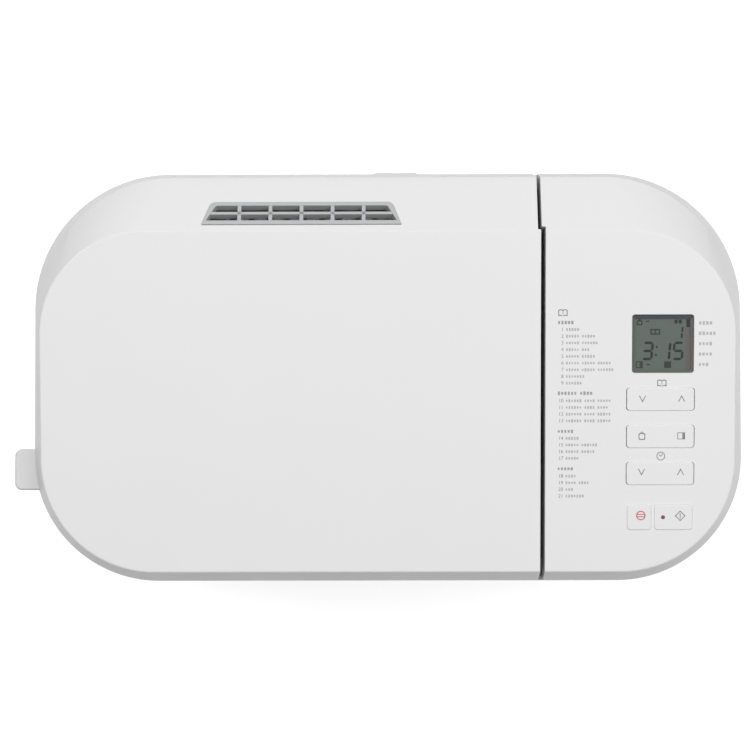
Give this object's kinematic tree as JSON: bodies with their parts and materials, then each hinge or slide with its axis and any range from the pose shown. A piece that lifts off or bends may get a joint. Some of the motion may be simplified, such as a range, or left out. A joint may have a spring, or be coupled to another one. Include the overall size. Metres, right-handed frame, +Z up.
{
  "type": "bread machine",
  "caption": "Upright bread machine with a hinged lid, sloping control panel, lift-out pan with swinging handle and kneading blade, and a motor with a belt drive.",
  "frame": {"origin": "middle of the footprint, on the worktop under the feet", "axes": "+X to the right seen from the front, +Y to the rear, +Z up"},
  "size_m": [0.407, 0.2444, 0.362],
  "materials": {
    "casing_white": "satin white moulded plastic",
    "key_white": "satin white keys",
    "grip_grey": "pale grey moulded plastic",
    "vent_grey": "grey grille",
    "base_grey": "dark grey base",
    "inner_white": "natural moulded plastic",
    "black_plastic": "black plastic",
    "foot_rubber": "dark rubber",
    "silicone_grey": "grey silicone",
    "screw_steel": "zinc-plated steel",
    "sheet_steel": "bright sheet steel",
    "oven_steel": "aluminised steel",
    "bright_steel": "polished steel",
    "cast_aluminium": "cast aluminium",
    "lining_aluminium": "satin sheet aluminium",
    "nonstick_dark": "dark non-stick coating on aluminium",
    "bush_bronze": "sintered bronze",
    "copper": "enamelled copper",
    "stator_iron": "laminated iron",
    "heater_dark": "oxidised heater sheath",
    "ceramic": "ceramic",
    "lcd_glass": "clear window",
    "lcd_frame": "display frame",
    "lamp_red": "red lamp lens",
    "board_green": "green circuit board",
    "ribbon_grey": "grey ribbon cable"
  },
  "bodies": {
    "machine": {"body_shell": "casing_white", "base_plate": "base_grey", "feet": "foot_rubber", "machine_screws": "screw_steel", "cord_housing": "casing_white", "cord_gland": "black_plastic", "control_cover": "casing_white", "lcd_window": "lcd_glass", "lcd_module": "lcd_frame", "button_carrier": "inner_white", "rocker_pins": "bright_steel", "start_lamp": "lamp_red", "control_board": "board_green", "tact_switches": "black_plastic", "board_screws": "screw_steel", "ribbon_cable": "ribbon_grey", "power_board": "board_green", "hinge_brackets": "sheet_steel", "hinge_pins": "bright_steel", "oven_box": "oven_steel", "oven_deck": "inner_white", "heater": "heater_dark", "heater_clips": "sheet_steel", "heater_insulators": "ceramic", "temperature_sensor": "bright_steel", "pan_seat": "cast_aluminium", "heat_shield": "sheet_steel", "drive_bushes": "bush_bronze", "chassis": "sheet_steel", "drive_belt": "foot_rubber", "motor_frame": "cast_aluminium", "motor_stator": "stator_iron", "motor_windings": "copper", "motor_mounts": "foot_rubber", "motor_capacitor": "inner_white"},
    "lid": {"lid_shell": "casing_white", "lid_lining": "lining_aluminium", "lid_seal": "silicone_grey", "lid_screws": "screw_steel", "steam_vent": "vent_grey", "vent_duct": "black_plastic", "lid_grip": "grip_grey"},
    "pan": {"bread_pan": "nonstick_dark", "pan_lock_ring": "cast_aluminium", "pan_bearing": "bush_bronze", "shaft_seal": "black_plastic", "bail_pins": "bright_steel"},
    "bail": {"pan_bail": "bright_steel"},
    "blade": {"pan_shaft": "bright_steel", "shaft_clip": "bright_steel", "kneading_blade": "nonstick_dark"},
    "drive": {"drive_shaft": "bright_steel", "drive_pulley": "black_plastic"},
    "rotor": {"motor_rotor": "bright_steel", "motor_pulley": "bright_steel"},
    "menu_key": {"menu_rocker": "key_white"},
    "size_crust_key": {"size_crust_rocker": "key_white"},
    "timer_key": {"timer_rocker": "key_white"},
    "stop_key": {"stop_button": "key_white"},
    "start_key": {"start_button": "key_white"}
  },
  "joints": [
    {"name": "lid_hinge", "type": "hinge", "parent": "machine", "child": "lid", "pos_m": [0.005, 0.10395, 0.3088], "axis": [-1, 0, 0], "range_deg": [0, 95]},
    {"name": "pan_lift", "type": "slide", "parent": "machine", "child": "pan", "axis": [0, 0, 1], "range_m": [0, 0.06]},
    {"name": "bail_swing", "type": "hinge", "parent": "pan", "child": "bail", "pos_m": [-0.055, -0.00775, 0.2306], "axis": [-1, 0, 0], "range_deg": [0, 224]},
    {"name": "drive_spin", "type": "hinge", "parent": "machine", "child": "drive", "pos_m": [-0.055, -0.00775, 0], "axis": [0, 0, 1], "continuous": true},
    {"name": "motor_spin", "type": "hinge", "parent": "machine", "child": "rotor", "pos_m": [0.123, -0.00775, 0], "axis": [0, 0, 1], "continuous": true},
    {"name": "blade_spin", "type": "hinge", "parent": "pan", "child": "blade", "pos_m": [-0.055, -0.00775, 0], "axis": [0, 0, 1], "continuous": true},
    {"name": "menu_key_tilt", "type": "hinge", "parent": "machine", "child": "menu_key", "pos_m": [0.1546, -0.02124, 0.34258], "axis": [0, 0.9903, 0.1392], "range_deg": [-2.5, 2.5], "stiffness_Nm_per_rad": 0.3},
    {"name": "size_crust_key_tilt", "type": "hinge", "parent": "machine", "child": "size_crust_key", "pos_m": [0.1546, -0.04154, 0.33972], "axis": [0, 0.9903, 0.1392], "range_deg": [-2.5, 2.5], "stiffness_Nm_per_rad": 0.3},
    {"name": "timer_key_tilt", "type": "hinge", "parent": "machine", "child": "timer_key", "pos_m": [0.1546, -0.06184, 0.33687], "axis": [0, 0.9903, 0.1392], "range_deg": [-2.5, 2.5], "stiffness_Nm_per_rad": 0.3},
    {"name": "stop_key_press", "type": "slide", "parent": "machine", "child": "stop_key", "axis": [0, 0.1392, -0.9903], "range_m": [0, 0.0008], "stiffness_N_per_m": 600},
    {"name": "start_key_press", "type": "slide", "parent": "machine", "child": "start_key", "axis": [0, 0.1392, -0.9903], "range_m": [0, 0.0008], "stiffness_N_per_m": 600}
  ],
  "couplings": [
    {"joint": "motor_spin", "follows": "drive_spin", "ratio": 6.2857},
    {"joint": "blade_spin", "follows": "drive_spin", "ratio": 1}
  ]
}
